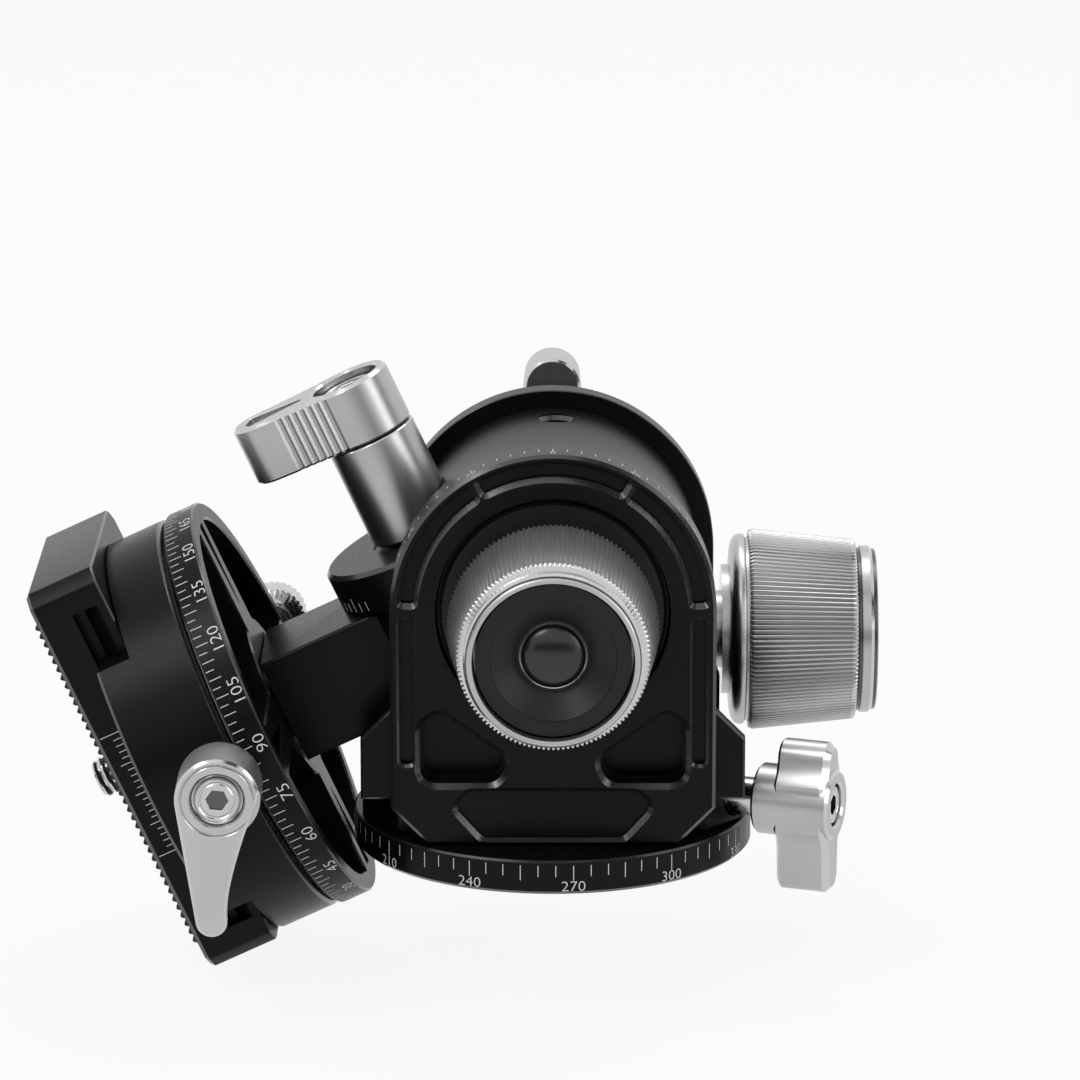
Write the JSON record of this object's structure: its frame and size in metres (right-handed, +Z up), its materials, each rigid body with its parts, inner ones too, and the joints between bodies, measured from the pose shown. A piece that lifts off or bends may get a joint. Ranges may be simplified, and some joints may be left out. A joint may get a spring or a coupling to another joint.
{
  "type": "geared tripod head",
  "caption": "Compact geared tripod head with a pan base, two worm-geared tilt axes with knobs and release levers, and a panning clamp with a quick-release plate.",
  "frame": {"origin": "on the pan axis, at the base's underside", "axes": "+Z up along the pan axis; +Y from the front knob toward the back, along the roll axis; +X toward the side knob. At rest the head leans 115 degrees toward -X, as pictured"},
  "size_m": [0.1277, 0.091, 0.089],
  "materials": {
    "black_anodised": "satin anodised",
    "matte_black": "matte",
    "silver": "fine brushed",
    "steel": "bright",
    "brass": "machined",
    "grip_rubber": "ribbed",
    "nylon": "plain",
    "glossy_black": "polished"
  },
  "bodies": {
    "base": {"pan_base": "black_anodised", "pan_spindle": "steel", "tripod_bushing": "brass", "spindle_screw_1": "steel", "spindle_screw_2": "steel", "spindle_screw_3": "steel", "spindle_screw_4": "steel"},
    "frame": {"fork_frame": "black_anodised", "gear_case": "black_anodised", "roll_worm_bush": "brass", "pan_lock_shoe": "brass", "gear_case_screw_1": "steel", "gear_case_screw_2": "steel", "gear_case_screw_3": "steel", "gear_case_screw_4": "steel"},
    "pan_lock": {"pan_lock_screw": "steel", "pan_lock_knob": "silver", "pan_lock_cap_screw": "steel"},
    "side_knob": {"side_knob_grip": "silver", "side_knob_cap": "matte_black", "side_knob_dome": "glossy_black", "roll_worm": "steel"},
    "drum": {"roll_drum": "black_anodised", "drum_front_cap": "matte_black", "pitch_worm_bush": "brass", "roll_shaft": "steel", "roll_wheel": "brass"},
    "roll_lever": {"roll_lever": "silver", "roll_lever_screw": "steel"},
    "front_knob": {"front_knob_grip": "silver", "front_knob_cap": "matte_black", "front_knob_dome": "glossy_black", "pitch_worm": "steel"},
    "pitch_lever": {"pitch_lever": "silver", "pitch_lever_screw": "steel", "pitch_lever_stem": "silver"},
    "tilt": {"tilt_arm": "black_anodised", "pitch_shaft": "steel", "pitch_wheel": "brass", "scale_plate": "black_anodised", "clamp_bearing": "nylon", "platform_screw_1": "steel", "platform_screw_2": "steel", "platform_screw_3": "steel", "platform_screw_4": "steel"},
    "clamp_lock": {"clamp_lock_knob": "silver"},
    "clamp": {"clamp_body": "black_anodised", "clamp_pivot_bolt": "steel", "lower_guide_pin": "steel", "upper_guide_pin": "steel"},
    "jaw": {"clamp_jaw": "black_anodised", "cam_bolt": "steel"},
    "cam_lever": {"cam_lever": "silver", "cam_screw": "steel"},
    "plate": {"release_plate": "black_anodised", "front_grip_strip": "grip_rubber", "rear_grip_strip": "grip_rubber"},
    "camera_screw": {"camera_screw": "steel"}
  },
  "joints": [
    {"name": "pan", "type": "hinge", "parent": "base", "child": "frame", "pos_m": [0, 0, 0], "axis": [0, 0, 1], "continuous": true},
    {"name": "pan_lock_turn", "type": "hinge", "parent": "frame", "child": "pan_lock", "pos_m": [0, 0, 0.0093], "axis": [0.9397, -0.342, 0], "range_deg": [0, 50]},
    {"name": "roll", "type": "hinge", "parent": "frame", "child": "drum", "pos_m": [0, 0, 0.0407], "axis": [0, 1, 0], "range_deg": [0, 165]},
    {"name": "side_knob_turn", "type": "hinge", "parent": "frame", "child": "side_knob", "pos_m": [0.0246, 0.026, 0.0252], "axis": [1, 0, 0], "range_deg": [0, 4950]},
    {"name": "roll_lever_turn", "type": "hinge", "parent": "drum", "child": "roll_lever", "pos_m": [0, 0.0323, 0.0407], "axis": [0, -1, 0], "range_deg": [0, 60]},
    {"name": "pitch", "type": "hinge", "parent": "drum", "child": "tilt", "pos_m": [-0.01405, 0, 0.03415], "axis": [-0.4226, 0, 0.9063], "range_deg": [-12, 12]},
    {"name": "front_knob_turn", "type": "hinge", "parent": "drum", "child": "front_knob", "pos_m": [0, -0.022, 0.0407], "axis": [0, -1, 0], "range_deg": [-360, 360]},
    {"name": "pitch_lever_turn", "type": "hinge", "parent": "drum", "child": "pitch_lever", "pos_m": [-0.02732, 0, 0.06261], "axis": [-0.4226, 0, 0.9063], "range_deg": [0, 45]},
    {"name": "clamp_lock_turn", "type": "hinge", "parent": "tilt", "child": "clamp_lock", "pos_m": [-0.04359, 0.0335, 0.02368], "axis": [0, 1, 0], "continuous": true},
    {"name": "clamp_pan", "type": "hinge", "parent": "tilt", "child": "clamp", "pos_m": [-0.04541, 0, 0.01953], "axis": [-0.9063, 0, -0.4226], "range_deg": [-150, 150]},
    {"name": "jaw_slide", "type": "slide", "parent": "clamp", "child": "jaw", "axis": [0, 1, 0], "range_m": [0, 0.0016]},
    {"name": "cam_lever_turn", "type": "hinge", "parent": "clamp", "child": "cam_lever", "pos_m": [-0.04849, -0.0325, 0.01809], "axis": [0, 1, 0], "range_deg": [0, 90]},
    {"name": "plate_slide", "type": "slide", "parent": "clamp", "child": "plate", "axis": [-0.4226, 0, 0.9063], "range_m": [-0.0075, 0.0034]},
    {"name": "camera_screw_turn", "type": "hinge", "parent": "plate", "child": "camera_screw", "pos_m": [-0.06344, 0, 0.01112], "axis": [-0.9063, 0, -0.4226], "continuous": true}
  ],
  "couplings": [
    {"joint": "side_knob_turn", "follows": "roll", "ratio": 30},
    {"joint": "front_knob_turn", "follows": "pitch", "ratio": 30},
    {"joint": "jaw_slide", "follows": "cam_lever_turn", "m_per_rad": 0.001}
  ]
}
